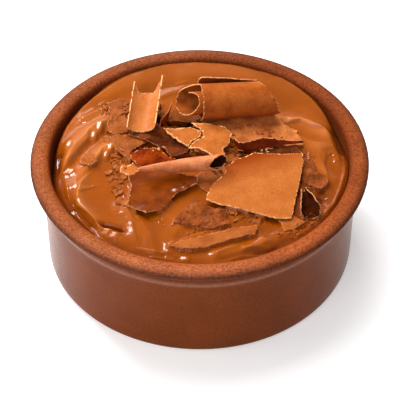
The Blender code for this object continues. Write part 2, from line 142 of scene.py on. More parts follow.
# Broad ridges: their line, bend, half width and height.
RIDGES = (
    ("-48.5,-5 -33,19.5", 2.5, 3.4, 1.9),
    ("-42.5,-15.5 -30,6.5", 3, 3.6, 1.6),
    ("-23.5,-45 -42.5,-20.5", 2.5, 3, 1.2),
    ("-15.5,-47.5 -25.5,-25", -2, 3.2, 0.9),
    ("-9.5,-44.5 -5.5,-33", 1.5, 3, 0.7),
    ("6,-48.5 22,-42", -1, 2.2, 1.3),
    ("24,-43 33,-37", 0.6, 2.4, 1),
    ("47,-10 43,4", 2.5, 2.6, 0.8),
    ("45,6 33,13", 1, 2.8, 1.4),
    ("46,13 30,21", -2, 3.4, 1.3),
    ("-36,33.5 -8,43", 3, 4.2, 0.5),
    ("-5,46 36,34", 5, 4.6, 0.45),
    ("-14,34 -2,37", 1, 2, 0.6),
)
# Hollows at the wall: bearing, half width in degrees, depth and reach.
WALL_HOLLOWS = (
    (222, 26, 1, 4.5),
    (184, 16, 1, 4.5),
    (20, 16, 1, 4.5),
    (300, 22, 0.7, 4.5),
    (168, 24, 3.2, 1.3),
    (146, 14, 1.8, 1.2),
    (215, 14, 1.2, 1.2),
    (17, 13, 3.2, 1.4),
    (70, 30, 0.3, 1),
    (330, 25, 0.9, 1),
)
# Waves: their noise's scale and height.
CREAM_WAVES = ((0.16, 0.2), (0.5, 0.05), (1.4, 0.01))
# Crumbly places: their line, half width and height.
ROUGH_PLACES = (
    ("-28,8 -28.5,1 -29.5,-6 -28.5,-14 -26.5,-23", 2.2, 0.6),
    ("-33,22 -26,19", 1.8, 0.8),
    ("-41,-1 -38,-4", 1.6, 0.9),
    ("13,-30 24,-33", 1.5, 0.8),
    ("3,-38 10,-34", 1, 0.5),
    ("-22,-31 -14,-31", 1.2, 0.6),
    ("37,4 40,-2", 1.4, 0.6),
    ("33,-33 42,-28", 1.6, 0.9),
    ("28,-38 36,-37", 1.2, 0.7),
)
# Deep gaps between the shavings, darkened by the cream's painted shade: their line, half width and depth.
VOIDS = (
    ("-16.5,24 -13.5,20.5 -9.5,18.8 -4,19 -1,23", 1.6, 4),
    ("-25,13 -15,13", 0.9, 2.5),
    ("-2.4,16 1,13.3", 1, 3),
    ("0.5,1.5 5,-0.2", 1.3, 4),
    ("-8,0.2 -3,0.8", 1, 3),
    ("13,3.5 20,3.5", 0.9, 3),
    ("6,-4 8,-6.5", 1.5, 4),
)
# Small smooth places that catch the light, by node: their middles, half sizes and slopes.
GLINTS = {
    "pudding": (
        (-46.8, 6.5, 1.7, 2.8, 0.276, 0.115),
        (-46, -6.6, 2, 1.4, 0.272, 0.099),
        (-32.4, -36.6, 2.8, 1.3, 0.289, 0.067),
        (-29.4, -38.4, 2.2, 1.1, 0.295, 0.066),
        (-38.3, 11.6, 1.6, 3.2, 0.294, 0.123),
        (-36.6, 15.2, 1.6, 2.8, 0.299, 0.128),
        (-33.6, 1.2, 1.4, 2.8, 0.301, 0.113),
        (-32.2, 4.4, 1.4, 2.2, 0.305, 0.117),
        (-5.6, -49, 2.4, 1.1, 0.34, 0.061),
        (47.5, 1.8, 0.9, 0.9, 0.468, 0.14),
    ),
    "flake_shell": (
        (-8.8, -18.4, 2, 1.1, 0.346, 0.098),
        (-6, -17, 2, 1.1, 0.353, 0.101),
    ),
}
# How far up the pudding reaches for a shaving, how deep the shaving bites in, and the moat along its front.
CONTACT_REACH = 1.6
CONTACT_BITE = 0.03
MOAT_ROWS = 3
MOAT_DEPTH = 0.7

# Smaller folds: the crest's line, the half widths on its left and right, and the height.
FOLDS = (
    ("-48,-5 -45,0.5 -42,6 -38.5,12 -34,18.5", 2.6, 1, 1.5),
    ("-37.5,-3 -34.5,1.5 -30.5,6", 2.2, 0.8, 1.1),
    ("-43.5,20 -40,22.5 -36,25.5", 2.4, 2, 1.2),
    ("-39,-8.5 -41.5,-14 -42.5,-19 -43,-21.5 -42,-24.5 -38.5,-28 -35.5,-32 -34,-35.5", 5, 0.45, 1.3),
    ("-44.5,-19.5 -43.5,-25 -39.5,-30 -35.5,-35", 1.2, 1.2, -1.2),
    ("-42.5,-18.5 -39,-16 -36,-14.5", 0.9, 0.3, 0.35),
    ("-47.5,-9.5 -45.5,-19.5 -41,-30 -35,-38.5 -29.5,-44 -23.5,-47.5", 0.8, 0.8, 0.7),
    ("-49.5,4 -50,-1 -50,-7.5", 1.2, 2, -1.8),
    ("-47,4 -46,6.5 -45.5,8", 1.2, 1, 0.7),
    ("-47,-8 -45.5,-7 -44,-6.5", 0.9, 1.2, 0.7),
    ("-34.2,-33.2 -32,-33.8 -30,-34.3 -27.2,-35.4 -25.6,-36.4", 0.8, 0.6, -2.6),
    ("-34,-36 -31,-38.5 -27.5,-40.5", 0.8, 1.3, 0.9),
    ("-25.5,-25 -23.5,-29.5 -22.5,-36 -21,-42", 0.5, 4, 0.45),
    ("-30,-37 -26.5,-40 -23,-43.5", 0.6, 0.5, 0.6),
    ("-21.5,-44.5 -16.5,-46.5 -10,-47", 0.8, 0.6, 0.6),
    ("-17.5,-48.5 -13.5,-49 -8.5,-50", 0.5, 0.5, 0.4),
    ("-7.5,-49 -5,-50 -3,-50", 0.9, 1, 0.7),
    ("-14,-32.5 -13,-32", 0.8, 0.8, 0.35),
    ("-11,-46 -10.5,-43.5 -6.5,-41.5 0,-38 7.5,-35.5", 0.7, 3.2, 0.9),
    ("5,-48 9,-45.5 13.5,-44", 1.2, 0.8, 0.8),
    ("14,-46 17.5,-44.5 23,-44", 1.2, 0.8, 0.7),
    ("9.5,-50 14.5,-48 19,-47.5", 0.8, 0.6, 0.5),
    ("18.5,-46.5 23,-45.5 27,-43", 0.6, 0.6, -0.6),
    ("21,-39 20,-34 21.5,-29.5", 1.6, 0.8, 0.7),
    ("32.5,-39 36,-36 39.5,-31.5", 0.8, 0.8, 0.6),
    ("42,-29 46.5,-22.5 49,-15.5 51,-7.5 51.5,-1", 0.7, 0.7, 0.6),
    ("45,3 44,-2.5 45,-10.5", 0.5, 2.4, 0.7),
    ("41,-16 43,-19.5 41.5,-23.5", 1.8, 1.4, -1.2),
    ("48,17 50,9.5 51.5,2.5", 1.3, 1.3, -1.9),
    ("45,16 47,9.5 49,2 49.5,-4", 1.2, 2.2, 0.9),
    ("50,9 51,5.5 51.5,1", 0.5, 0.5, 0.7),
    ("46,3 46.5,2", 0.6, 0.6, 0.4),
    ("47.5,3.5 47.5,2", 0.5, 0.5, 0.4),
    ("48,0 48,-2", 0.5, 0.5, 0.4),
    ("31,18 36.5,19.5 40,16.5 45.5,15", 2.6, 0.5, 1.2),
    ("29,23.5 32,24 35.5,23", 1.4, 0.9, 0.4),
    ("23,48 28,45.5 32.5,41.5 37,37 41,32 44,27 47,21.5", 0.6, 0.6, 0.7),
    ("-9,40.5 -6,41.5 -3.5,42.5", 0.8, 0.4, 0.3),
    ("-6.5,39 -3,40", 0.7, 0.4, 0.25),
    ("-28.5,32 -28,32", 0.5, 0.5, 0.3),
    ("-22.5,36 -19.5,37.5 -16,36.5", 1.6, 1.6, -0.5),
    ("-37,29 -35,30 -34,27", 0.8, 0.8, 0.5),
)

# The shavings, in mm, with the solids' outlines and rules. The pencil, the trough's ends and the scroll's lip
# alone differ a little. The lip: its share of the sheet, how far it bends in at its right and out at its
# left, over what share of its length, and how far its left end is torn back.
LIP_SHARE = 0.07
LIP_FLARE = -0.9
LIP_LIFT = 1.0
LIP_LIFT_SHARE = 0.7
LIP_TORN = 1.2
# The steps of a flake's torn outline and of the points inside it, and how far those stray.
TORN_STEP = 0.55
INNER_STEP = 0.75
JITTER = 0.1
# tone picks the look, and rough is the height of the surface's unevenness.
Flake = namedtuple("Flake", "node outline centre slope ripple tone rough bends", defaults=((),))
LOW_FLAKES = (
    Flake("flake_sunken", "-9,-33.5 -6,-28 -3,-23 1,-24 8.5,-28 10.5,-34 3,-37 -2,-35", (0, -30), (0, 0),
        0.35, "wrinkled", 1.1),
    Flake("flake_strip", "-10.5,-45 -6.5,-42.5 2,-40 11,-36.5 20,-35 19,-39 11,-41.5 2,-45.5 -4.5,-46",
        (5, -41), (0, 0.02), 0.1, "strip", 0.08),
    Flake("flake_corner", "27,-30 31.5,-29.5 36,-33 32.5,-36 29,-37 28,-34.5", (31, -33), (0.05, 0.02), 0.1,
        "strip", 0.1),
    Flake("flake_left_back", "-34,29 -28.5,31.5 -23.5,30.5 -23,25 -28,23 -30,20.5 -32.5,22", (-28, 26),
        (0.02, 0), 0.15, "brown", 0.4, ((250, 3, 0.03),)),
    Flake("flake_left_rough", "-33,18.5 -27.5,21.5 -25.5,18.5 -26,13 -30,10.5 -33.5,13", (-29, 16), (0, 0.02),
        0.4, "brown", 0.7),
    Flake("flake_left_mid", "-34.5,8 -30.5,10 -25.5,10.5 -19,6.5 -22.5,3.5 -24.5,1 -24.5,-3 -29.5,2.5",
        (-26, 5), (0.03, 0.03), 0.2, "brown", 0.4),
    Flake("flake_tan", "-28,-8.5 -27.5,-4.5 -25.5,-5 -23.5,-3 -20.5,-5.5 -21.5,-8.5 -24.5,-10", (-24, -6),
        (0, 0), 0.1, "light", 0.1),
    Flake("flake_bark", "3,16 6,18 14.5,20 27.5,22 29,19.5 30.5,15.5 35,12.5 37,5.5 28.5,4 14.5,4.5 11,9",
        (21, 13), (0, 0.03), 0.35, "bark", 0.5),
    Flake("flake_under_ribbon", "18,0.5 22,2.5 27,4 34.5,3.5 36,-0.5 35,-4.5 22,-4", (28, 0), (0.02, 0.06),
        0.1, "dark", 0.15),
    Flake("flake_right_fold", "36,-2.5 40,-2.5 41.5,-9 45,-11 45,-14.5 42.5,-16.5 36.5,-13.5 35,-10.5",
        (40, -10), (0, 0.05), 0.45, "wrinkled", 0.7),
    Flake("flake_dark_mid", "-25.5,9.5 -16,13.5 -9.5,11 -3.5,3 -4.5,0 -10,-2 -12.5,1.5 -18.5,6", (-12, 5),
        (0, 0.05), 0.35, "dark", 0.4),
    Flake("flake_under_pencil", "-1,-10 -1,-13.5 0.5,-16.5 3,-18.5 6.5,-17.5 10,-10.5 8.5,-5 2,-6.5",
        (4, -12), (0.03, 0.02), 0.1, "strip", 0.08),
    Flake("flake_shell", "-25,-11 -21.5,-8.5 -12,-9 -0.5,-13.5 -1,-15.5 -8.5,-20.5 -11.5,-25.5 -13.5,-27.5 "
        "-18.5,-30 -25,-26 -24,-16.5", (-15, -18), (0.02, 0.01), 0.1, "glossy", 0.08,
        ((60, 3.5, 0.022), (180, 8, 0.05), (250, 7, 0.02))),
    Flake("flake_centre_rough", "8,4 12,3.5 15.5,1.5 13,-2 10.5,-3 7.5,-0.5", (11, 1), (0, 0.1), 0.2, "strip",
        0.2),
    Flake("flake_pink", "-13,21 -10.5,24 -7.5,24.5 -1.5,23 0.5,20.5 -1.5,18.5 -5.5,19 -11.5,19.5", (-6, 21),
        (0, 0.15), 0.15, "strip", 0.15),
    Flake("flake_rust", "-25,-0.5 -20.5,1 -14,1 -11,-2.5 -8.5,-3 -15,-6.5 -19.5,-7 -22.5,-5 -24.5,-2.5",
        (-18, -3), (0, 0.32), 0.3, "rust", 0.3),
)
HIGH_FLAKES = (
    Flake("flake_notched_left", "-13,10.5 -9,10.5 -3.5,11.5 1,9.5 0,7 -4.5,2 -9,6", (-5, 8), (-0.02, 0.06),
        0.1, "light", 0.06, ((200, 4, 0.05),)),
    Flake("flake_notched_right", "-3,13 4.5,12 8,11.5 11.5,8 10.5,2.5 8,0.5 9,-2.5 5,-3.5 1.5,-0.5 -4,1 "
        "-1.5,4 1,6 1,9", (4, 5), (0, 0.08), 0.25, "light", 0.08),
    Flake("flake_large", "2,-23 4,-17 9,-10.5 9,-8 12.5,-5 19.5,-1.5 28,-1.5 36.5,-1 36.5,-4.5 35.5,-11.5 "
        "33.5,-21.5 31.5,-32 26,-32 14,-27.5 5.5,-25", (20, -15), (0, 0.06), 0.04, "slab", 0.04,
        ((112, 7.5, 0.03),)),
    Flake("flake_crumb", "-42.5,-1.5 -40.5,0.5 -37,0 -36,-3.5 -39,-5.5 -42,-4.5", (-39, -2), (0, 0), 0.2,
        "strip", 0.3),
)
Strip = namedtuple("Strip", "node low high ripple grid tone rough")
STRIPS = (
    Strip("flake_ribbon",
        ((12.6, 3.6, 0), (15, 1.4, 0), (19, 1.6, 0), (23, 2.1, 0.2), (29, 3.2, 0.5), (36.5, 3.8, 0.9)),
        ((12, 6.2, 1.6), (14.6, 2.6, 2.3), (19, 3.6, 2.4), (23, 5.4, 2.3), (29, 4.7, 1.7), (37, 4.4, 1.3)),
        0.1, (90, 16), "red", 0.12),
    Strip("flake_shard", ((-14.5, 14.5, 0), (-12.5, 17, 0), (-11.5, 20.5, 0.4)),
        ((-14, 16, 3), (-11.5, 19, 4.5), (-10, 23.5, 5)), 0.1, (30, 12), "rust", 0.1),
)
# A roll's cuts: what each end gains and on which bearing it gains most, and what the far end gains at the
# sides. Its tail: between which shares of the sheet the near end runs out, how far, and how askew.
Curl = namedtuple("Curl", "node ends radii belly bearings shrink cuts tail grid tone rough")
CURLS = (
    Curl("curl_cone", ((36.2, -19, 43), (38.2, -29.5, 43)), (0.8, 3.7), 0, (20, -225), (0.2, 1),
        ((0.4, 90), (1, -90)), None, (40, 60), "hollow", 0.4),
    Curl("curl_pencil", ((-20.8, -11.9, 44), (7, -9.6, 45)), (0.6, 2.7), 0.5, (-75, 275), (0.3, 1),
        ((0.5, 0), (3.2, 200)), None, (80, 72), "pencil", 0.06),
    Curl("curl_trough", ((-21.4, 8.7, 44), (-19.4, 30, 45.6)), (5.6, 5.6), 0, (214, 358), (0, 1),
        ((0.6, 90), (-1.6, 270), 3), None, (60, 90), "pale", 0.05),
    Curl("curl_scroll", ((0.2, 20, 49), (24.3, 22.5, 49)), (7.5, 6.95), 0, (128, 848), (4.2, 1.5),
        ((-0.6, 45), (3.7, 330)), (0.46, 0.58, 4.6, 3.9), (90, 260), "scroll", 0.08),
)
FIRST_SEED = 8

# Chips: the height that they drop from, how far from the middle they stay, and heaps of them by their line,
# how far they stray from it, how many, and their half sizes.
CHIPS_DROP = 70
CHIPS_REACH = 51
PALE_CHIPS = (
    ("-28.5,1 -29.5,-6 -28.5,-14 -26.5,-23", 1.5, 60, (0.5, 2.1)),
    ("-34,27 -33.5,21", 1.4, 14, (0.4, 1.6)),
    ("-27,29 -25,20", 1, 12, (0.3, 1.3)),
    ("-40,-1 -38,-4", 1, 10, (0.3, 1)),
    ("8,-26 14,-29 21,-31", 1.2, 26, (0.3, 1.6)),
    ("12,13 28,11", 2.2, 22, (0.3, 1.2)),
    ("-12,-33 0,-37 10,-34", 1, 14, (0.3, 0.9)),
    ("26,-39 34,-37", 1.2, 14, (0.3, 1.1)),
    ("34,-33 42,-28", 1.2, 18, (0.3, 1.1)),
    ("-6,30 8,36", 3.5, 8, (0.15, 0.4)),
    ("36,3 40,-3", 1.4, 10, (0.3, 1)),
)
# Near-black chips in the gaps between the shavings: painted shade.
SHADE_CHIPS = (
    ("-21,13 -16,14 -8,15.5", 1.2, 26, (0.5, 2)),
    ("-15,28 -14,20", 1.2, 16, (0.4, 1.6)),
    ("1,2.5 5,-0.5", 1.4, 18, (0.5, 1.6)),
    ("11,3 20,1", 1.3, 22, (0.5, 1.8)),
    ("4,-9 10,-7", 1, 10, (0.3, 1.2)),
    ("35,-14 41,-24", 1.3, 20, (0.4, 1.7)),
    ("36,-31 39,-28", 1, 14, (0.4, 1.3)),
    ("12,-28 22,-30", 0.8, 10, (0.4, 1.2)),
)
LIGHT_CHIPS = (
    ("-1,14 1.5,7 -2.7,1.5 1.5,-1.7 0,-4", 0.8, 34, (0.3, 1.2)),
    ("-2,17 1,13", 0.8, 10, (0.3, 1)),
    ("18,-0.5 26,1.5", 0.7, 12, (0.3, 1.2)),
    ("-20,4 -12,0", 1.2, 10, (0.3, 1)),
)

# Tones of the chocolate: the face, its darker patches, the broken edge, the roughness, the bumps, the gloss,
# the sheet's thickness, a side darkened with painted shade (its bearing, where it starts and ends along that,
# and its colour), the width of the broken edge on the face, the other face, which inside the pencil's and the
# scroll's rolls is darkened as painted shade, and how torn the outline is. Lengths are in mm.
Tone = namedtuple(
    "Tone",
    "face patch edge roughness bump gloss sheet fade band back torn",
    defaults=(0.12, 0.45, None, 0.1, None, 1),
)
# The share of an edge's or another face's own colour in its dull parts.
DULL_SHARE = 0.55
CHOCOLATE_GRAIN = ((0.35, (0.84, 0.82, 0.8)), (0.65, 1.08))
CREAMY = (0.88, 0.43, 0.16)
TONES = {
    "light": Tone((0.5, 0.142, 0.026), (0.41, 0.105, 0.016), CREAMY, 0.5, 0.1, 0.08, 0.6, band=0.26,
        torn=1.3),
    "pale": Tone((0.53, 0.172, 0.041), (0.45, 0.13, 0.026), CREAMY, 0.45, 0.06, 0.1, 0.52),
    # The large flake's back-left, where it curls up, is darkened with painted shade.
    "slab": Tone((0.5, 0.143, 0.028), (0.44, 0.118, 0.019), CREAMY, 0.5, 0.05, 0.08, 0.52,
        (112, -20, -9, (0.29, 0.038, 0.001)), 0.14, torn=0.55),
    "crumb": Tone((0.8, 0.41, 0.16), (0.62, 0.25, 0.08), CREAMY, 0.6, 0.1, 0.05),
    "strip": Tone((0.4, 0.106, 0.018), (0.31, 0.072, 0.01), (0.55, 0.18, 0.05), 0.45, 0.15),
    "brown": Tone((0.33, 0.086, 0.016), (0.21, 0.048, 0.008), (0.5, 0.16, 0.045), 0.5, 0.4, 0.06, torn=1.4),
    # The scroll's other face, inside the roll, is darker: painted shade.
    "scroll": Tone((0.44, 0.108, 0.017), (0.33, 0.07, 0.009), (0.74, 0.32, 0.11), 0.5, 0.3, 0.06,
        back=(0.36, 0.08, 0.011)),
    "glossy": Tone((0.235, 0.043, 0.001), (0.15, 0.024, 0.001), (0.62, 0.23, 0.07), 0.18, 0.12, 0.2,
        band=0.14, torn=0.7),
    # The bark flake's face is lighter than the rest: painted light that makes up for the scroll's shade on
    # it.
    "bark": Tone((0.72, 0.225, 0.058), (0.5, 0.13, 0.028), (0.58, 0.19, 0.055), 0.55, 0.5),
    "wrinkled": Tone((0.31, 0.07, 0.01), (0.17, 0.033, 0.004), (0.34, 0.09, 0.02), 0.55, 0.9, band=0.0),
    # A near-black tone for flakes and chips deep in the gaps: painted shade.
    "dark": Tone((0.18, 0.036, 0.006), (0.05, 0.008, 0.002), (0.42, 0.12, 0.03), 0.55, 0.45, 0.06),
    # The cone's face is near black: painted shade in its hollow.
    "hollow": Tone((0.07, 0.012, 0.002), (0.03, 0.005, 0.001), (0.6, 0.23, 0.08), 0.6, 0.3, 0.02,
        back=(0.3, 0.07, 0.014)),
    "rust": Tone((0.32, 0.042, 0.002), (0.13, 0.012, 0.001), (0.62, 0.21, 0.06), 0.6, 0.5, 0.04, band=0.14),
    # The ribbon's face is darkened: painted shade on a face that turns from the light.
    "red": Tone((0.14, 0.015, 0.0015), (0.08, 0.007, 0.001), (0.8, 0.32, 0.12), 0.45, 0.15, 0.05),
    # The pencil's other face, inside the roll, is near black: painted shade.
    "pencil": Tone((0.7, 0.235, 0.098), (0.52, 0.15, 0.05), (0.74, 0.3, 0.12), 0.42, 0.1, 0.08,
        back=(0.035, 0.006, 0.001)),
}

# The floor's half side in mm, and how many cells it has along a side.
FLOOR_SIDE = 1500
FLOOR_CELLS = 30
# The sky's brightness by height, and the lights: a box overhead that reflections don't show, a small box and
# a strip behind, and boxes at the front left and the left. Each has a place, a height to aim at, a width and
# a length, in metres, and a power in watts.
SKY = ((0.0, 1.0), (0.25, 0.85), (0.5, 0.5), (1, 0.45))
SKY_STRENGTH = 0.6
LIGHTS = (
    ("top", (-0.12, 0.24, 0.74), 0.03, 0.42, 0.42, 4.7),
    ("back", (-0.36, 0.42, 0.52), 0.03, 0.19, 0.19, 3.4),
    ("rear", (-0.24, 0.66, 0.33), 0.03, 0.44, 0.14, 0.55),
    ("fill", (-0.25, -0.45, 0.42), 0.03, 0.4, 0.4, 1.2),
    ("side", (-0.6, -0.08, 0.16), 0.02, 0.3, 0.3, 1.4),
)
NOT_REFLECTED = "top"

# The photograph's camera: degrees, metres, pixels of the photograph, and mm for its sensor.
ELEVATION = 43.7
DISTANCE = 0.66
AIM_HEIGHT = 0.021
FOCAL_PIXELS = 1820
AIM_PIXEL = (199.7, 198)
FRAME_PIXELS = 400
SENSOR_WIDTH = 36


# Materials

class Look:
    """The nodes of a material or the world. Most calls add nodes and give back the last one's output."""

    def __init__(self, name, world=False):
        self.owner = owner = (bpy.data.worlds if world else bpy.data.materials).new(name)
        owner.use_nodes = True
        self.nodes, self.links = owner.node_tree.nodes, owner.node_tree.links
        self.where = self.add("TexCoord", {}, "Generated" if world else "Object")

    def feed(self, socket, value):
        """Links a socket to another one, or sets it to a number, a vector or a colour."""
        if hasattr(value, "is_output"):
            self.links.new(value, socket)
        elif value is not None:
            socket.default_value = (*value, 1) if socket.type == "RGBA" else value

    def add(self, kind, inputs, output, **settings):
        node = self.nodes.new("ShaderNode" + kind)
        for key, value in settings.items():
            setattr(node, key, value)
        for key, value in inputs.items():
            self.feed(node.inputs[key], value)
        return node.outputs[output]

    def texture(self, scale, detail, kind="TexNoise", output="Fac"):
        """A texture with its scale in features per metre."""
        return self.add(kind, {"Vector": self.where, "Scale": scale, "Detail": detail}, output)

    def place(self, axis):
        """One of the surface's coordinates."""
        return self.add("SeparateXYZ", {0: self.where}, axis)

    def measured(self, value, low, high):
        """A length moved from the range low to high, in mm, onto 0 to 1."""
        return self.add("MapRange", {"Value": value, "From Min": low * MM, "From Max": high * MM}, "Result")

    def ramp(self, source, stops):
        """A colour ramp; each stop is a position and a colour or a grey."""
        output = self.add("ValToRGB", {"Fac": source}, "Color")
        elements = output.node.color_ramp.elements
        while len(elements) < len(stops):
            elements.new(0.5)
        for element, (position, colour) in zip(elements, stops):
            element.position = position
            element.color = (*colour, 1) if isinstance(colour, tuple) else (colour, colour, colour, 1)
        return output

    def mixed(self, share, first, second, blend="MIX"):
        """A mix of two colours."""
        return self.add("Mix", {0: share, 6: first, 7: second}, 2, data_type="RGBA", blend_type=blend)

    def tinted(self, colour, source, stops):
        """A colour times a colour ramp."""
        return self.mixed(1.0, colour, self.ramp(source, stops), "MULTIPLY")

    def bump(self, height, strength, depth, normal=None):
        """A bump whose depth is in metres, on top of another one where that is given."""
        inputs = {"Height": height, "Strength": strength, "Distance": depth, "Normal": normal}
        return self.add("Bump", inputs, "Normal")

    def finished(self, inputs, end="Principled BSDF"):
        """Feeds the last node, and gives the material or the world back."""
        for key, value in inputs.items():
            self.feed(self.nodes[end].inputs[key], value)
        return self.owner


def clay_material():
    """Glazed clay: a dull rim with painted light on its crown and left and painted shade at its edges, back
    and right, over a shiny wall darkened as painted shade, with a painted highlight along its ridge.
    """
    look = Look("terracotta_clay")
    broad, fine = look.texture(60, 5), look.texture(1350, 4)
    specks = look.texture(900, 4, "TexVoronoi", "Distance")
    x, y, z = (look.place(axis) for axis in "XYZ")
    flat = look.add("VectorMath", {0: look.where, 1: (1, 1, 0)}, "Vector", operation="MULTIPLY")
    reach = look.add("VectorMath", {0: flat}, "Value", operation="LENGTH")
    on_rim = look.measured(z, *RIM_STARTS)
    # The wall, darker than the rim: painted shade.
    wall = look.ramp(broad, WALL_COLOURS)
    # A painted highlight along the ridge under the rim.
    wall = look.mixed(look.ramp(look.measured(z, *RIDGE_ZONE), RIDGE_HIGHLIGHT), wall, RIDGE_HIGHLIGHT_COLOUR)
    # Painted shade on the rim's rounded inner and outer edges, and painted light on its crown.
    rim = look.ramp(look.measured(reach, RIM_RADIUS - RIM_WIDTH, RIM_RADIUS), RIM_COLOURS)
    rim = look.tinted(rim, broad, RIM_PATCHES)
    # Painted shade that darkens the rim towards the back.
    rim = look.tinted(rim, look.measured(y, -RIM_RADIUS, RIM_RADIUS), RIM_BACK_SHADE)
    # Painted light on the rim's left and painted shade on its right.
    rim = look.tinted(rim, look.measured(x, -RIM_RADIUS, RIM_RADIUS), RIM_SIDE_LIGHT)
    colour = look.mixed(on_rim, wall, rim)
    grain = look.ramp(fine, CLAY_GRAIN)
    colour = look.mixed(look.ramp(on_rim, ((0, 0.35), (1, 0.85))), colour, grain, "MULTIPLY")
    colour = look.mixed(look.ramp(specks, ((0.10, 0.8), (0.22, 0))), colour, SPECK_COLOUR)
    return look.finished({
        "Base Color": colour,
        "Roughness": look.ramp(on_rim, ((0, 0.24), (1, 0.66))),
        "Specular IOR Level": 0.07,
        "Normal": look.bump(broad, 0.3, 0.0006, look.bump(fine, 0.35, 0.00014)),
    })


def cream_material():
    """Smooth cream with painted shade, darker and redder in its hollows, painted light on its crests, and
    painted light, shade and sheen from front to back.
    """
    look = Look("pudding_cream")
    broad, fine = look.texture(45, 3), look.texture(500, 3)
    # Painted shade in the gaps and hollows and painted light on the crests, by height.
    colour = look.ramp(look.measured(look.place("Z"), *CREAM_HEIGHTS), CREAM_COLOURS)
    # Painted light, shade and sheen from front to back.
    colour = look.tinted(colour, look.measured(look.place("Y"), -50, 50), CREAM_SIDE_LIGHT)
    return look.finished({
        "Base Color": look.tinted(colour, broad, CREAM_PATCHES),
        "Roughness": look.ramp(broad, ((0.35, 0.10), (0.7, 0.20))),
        "Subsurface Weight": 0.15,
        "Subsurface Radius": (1.0, 0.45, 0.2),
        "Subsurface Scale": 0.0010,
        "Specular IOR Level": 0.26,
        "Normal": look.bump(fine, 0.15, 0.0002),
    })


def face_material(name, tone):
    """A shaving's upper face, with painted shade on one side where its tone has it."""
    look = Look(name)
    patches, fine = look.texture(220, 5), look.texture(1600, 3)
    colour = look.ramp(patches, ((0.36, tone.patch), (0.60, tone.face)))
    colour = look.tinted(colour, fine, CHOCOLATE_GRAIN)
    # Painted shade on one side of the flake.
    if tone.fade:
        bearing, start, stop, shade = tone.fade
        way = {0: look.where, 1: (*towards(bearing), 0)}
        along = look.add("VectorMath", way, "Value", operation="DOT_PRODUCT")
        colour = look.mixed(look.measured(along, start, stop), colour, shade)
    return look.finished({
        "Base Color": colour,
        "Roughness": tone.roughness,
        "Specular IOR Level": tone.gloss,
        "Normal": look.bump(patches, tone.bump, 0.0006, look.bump(fine, tone.bump, 0.00012)),
    })


def flecked_material(name, scale, detail, stops, strength, depth, gloss):
    """A broken edge or a shaving's other face."""
    look = Look(name)
    flecks = look.texture(scale, detail)
    return look.finished({
        "Base Color": look.ramp(flecks, stops),
        "Roughness": 0.6,
        "Specular IOR Level": gloss,
        "Normal": look.bump(flecks, strength, depth),
    })


@functools.cache
def tone_materials(name):
    """The materials of one tone's face, broken edge and other face."""
    tone, name = TONES[name], "chocolate_" + name
    face = back = face_material(name, tone)
    dull = tuple(DULL_SHARE * e + (1 - DULL_SHARE) * f for e, f in zip(tone.edge, tone.face))
    edge = flecked_material(name + "_edge", 1100, 3, ((0.38, dull), (0.56, tone.edge)), 0.6, 0.0002, 0.5)
    if tone.back:
        dim = tuple(DULL_SHARE * value for value in tone.back)
        back = flecked_material(name + "_back", 320, 5, ((0.38, dim), (0.62, tone.back)), 0.4, 0.0004, 0.04)
    return face, edge, back


def floor_material():
    look = Look("white_floor")
    return look.finished({
        "Base Color": look.ramp(look.texture(20, 2), ((0.3, 0.90), (0.7, 0.91))),
        "Roughness": 0.7,
        "Specular IOR Level": 0.2,
        "Emission Color": (1, 1, 1),
        "Emission Strength": 0.37,
    })


# Meshes

def spots(text):
    """The points of a line or an outline that is written as x,y x,y."""
    return [tuple(float(value) for value in spot.split(",")) for spot in text.split()]


def placed(name, data):
    """An object of the scene that shows a mesh, a light or a camera."""
    obj = bpy.data.objects.new(name, data)
    bpy.context.scene.collection.objects.link(obj)
    return obj


def new_object(name, points, faces, materials, smooth=True):
    """A mesh object; the points are in mm."""
    mesh = bpy.data.meshes.new(name)
    mesh.from_pydata((np.array(points) * MM).tolist(), [], faces)
    for material in materials:
        mesh.materials.append(material)
    if smooth:
        mesh.shade_smooth()
    return placed(name, mesh)


def as_piece(obj, node):
    """The object as the piece that stands for a node."""
    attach(obj, "root")
    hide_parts(node)
    return obj


def stretch(low, high, t):
    return low + (high - low) * t


def towards(bearing):
    """The way that a bearing in degrees points."""
    return math.cos(math.radians(bearing)), math.sin(math.radians(bearing))


def arc(centre, radius, start, stop, steps):
    ways = [towards(start + (stop - start) * i / steps) for i in range(steps + 1)]
    return [(centre[0] + radius * a, centre[1] + radius * b) for a, b in ways]


def bezier(start, start_pull, stop_pull, stop, steps):
    """The points of a curve after its first one."""
    made = []
    for i in range(1, steps + 1):
        t = i / steps
        weights = ((1 - t) ** 3, 3 * t * (1 - t) ** 2, 3 * t * t * (1 - t), t**3)
        ends = (start, start_pull, stop_pull, stop)
        made.append(tuple(sum(w * p[k] for w, p in zip(weights, ends)) for k in range(2)))
    return made


